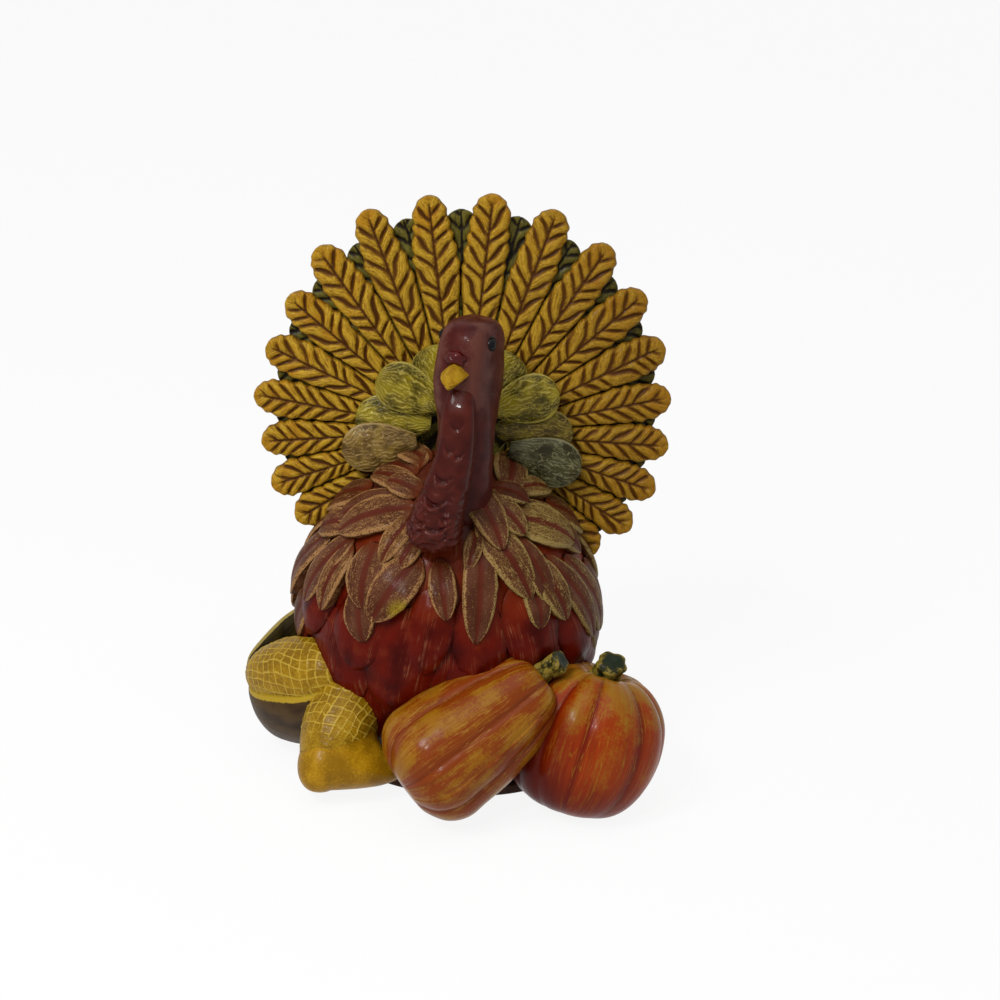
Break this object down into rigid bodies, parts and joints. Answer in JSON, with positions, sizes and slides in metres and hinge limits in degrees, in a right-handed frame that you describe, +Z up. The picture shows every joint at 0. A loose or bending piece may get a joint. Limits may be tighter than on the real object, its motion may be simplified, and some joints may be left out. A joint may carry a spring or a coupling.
{
  "type": "turkey figure",
  "caption": "Painted resin turkey ornament with a raised fan tail, standing on an oval base with corn, a squash and a pumpkin at its feet; rests on a table or shelf.",
  "frame": {"origin": "middle of the figure's footprint box, on the surface that the figure stands on", "axes": "+Z up, the bird faces -Y, +X towards the viewer's right where the pumpkin lies"},
  "size_m": [0.102, 0.0824, 0.1397],
  "materials": {
    "base": "dull brown paint on cast resin",
    "body_red": "glossy deep red glaze on cast resin",
    "breast_feathers": "plum brown paint with gold dry-brushed rims",
    "belly_feathers": "glossy red paint with orange edges",
    "back_feathers": "dark brown paint with gold dry-brushed rims",
    "green_feathers": "dark olive paint with yellow-green edges",
    "gold_feathers": "ochre gold dry brush over brown",
    "covert_feathers": "olive paint with gold scratched lines",
    "plum_skin": "semi-gloss plum paint",
    "wattle_skin": "glossy dark plum paint",
    "beak_gold": "ochre paint",
    "eye_black": "glossy black paint",
    "squash_orange": "glossy orange paint with yellow ridges",
    "pumpkin_orange": "red orange paint, dark in the grooves",
    "stem_green": "dark green paint with yellow dry brush",
    "corn_yellow": "glossy yellow paint",
    "husk_yellow": "ochre yellow paint",
    "husk_dark": "dark olive brown paint with yellow edges"
  },
  "bodies": {
    "root": {"base_plate": "base", "body": "body_red", "neck_ruff_left": "breast_feathers", "neck_ruff_right": "breast_feathers", "breast_row_left": "breast_feathers", "breast_row_right": "breast_feathers", "breast_row_middle": "breast_feathers", "breast_row_lower": "breast_feathers", "belly_row_left": "belly_feathers", "belly_row_right": "belly_feathers", "back_row_upper": "back_feathers", "back_row_middle": "back_feathers", "back_row_lower": "back_feathers", "tail_plate": "green_feathers", "tail_feather_01": "gold_feathers", "tail_feather_02": "gold_feathers", "tail_feather_03": "gold_feathers", "tail_feather_04": "gold_feathers", "tail_feather_05": "gold_feathers", "tail_feather_06": "gold_feathers", "tail_feather_07": "gold_feathers", "tail_feather_08": "gold_feathers", "tail_feather_09": "gold_feathers", "tail_feather_10": "gold_feathers", "tail_feather_11": "gold_feathers", "tail_feather_12": "gold_feathers", "tail_feather_13": "gold_feathers", "tail_feather_14": "gold_feathers", "tail_feather_15": "gold_feathers", "tail_feather_16": "gold_feathers", "tail_feather_17": "gold_feathers", "tail_feather_18": "gold_feathers", "tail_feather_19": "gold_feathers", "covert_left_1": "covert_feathers", "covert_left_2": "covert_feathers", "covert_left_3": "covert_feathers", "covert_left_4": "covert_feathers", "covert_right_1": "covert_feathers", "covert_right_2": "covert_feathers", "covert_right_3": "covert_feathers", "covert_right_4": "covert_feathers", "head_and_neck": "plum_skin", "eye_left": "eye_black", "eye_right": "eye_black", "snood": "plum_skin", "beak": "beak_gold", "wattle": "wattle_skin", "squash": "squash_orange", "squash_stem": "stem_green", "pumpkin": "pumpkin_orange", "pumpkin_stem": "stem_green", "corn_front_cob": "corn_yellow", "corn_front_husk": "husk_yellow", "corn_side_cob": "corn_yellow", "corn_side_husk": "husk_dark", "corn_back_husk": "husk_dark"}
  },
  "joints": []
}
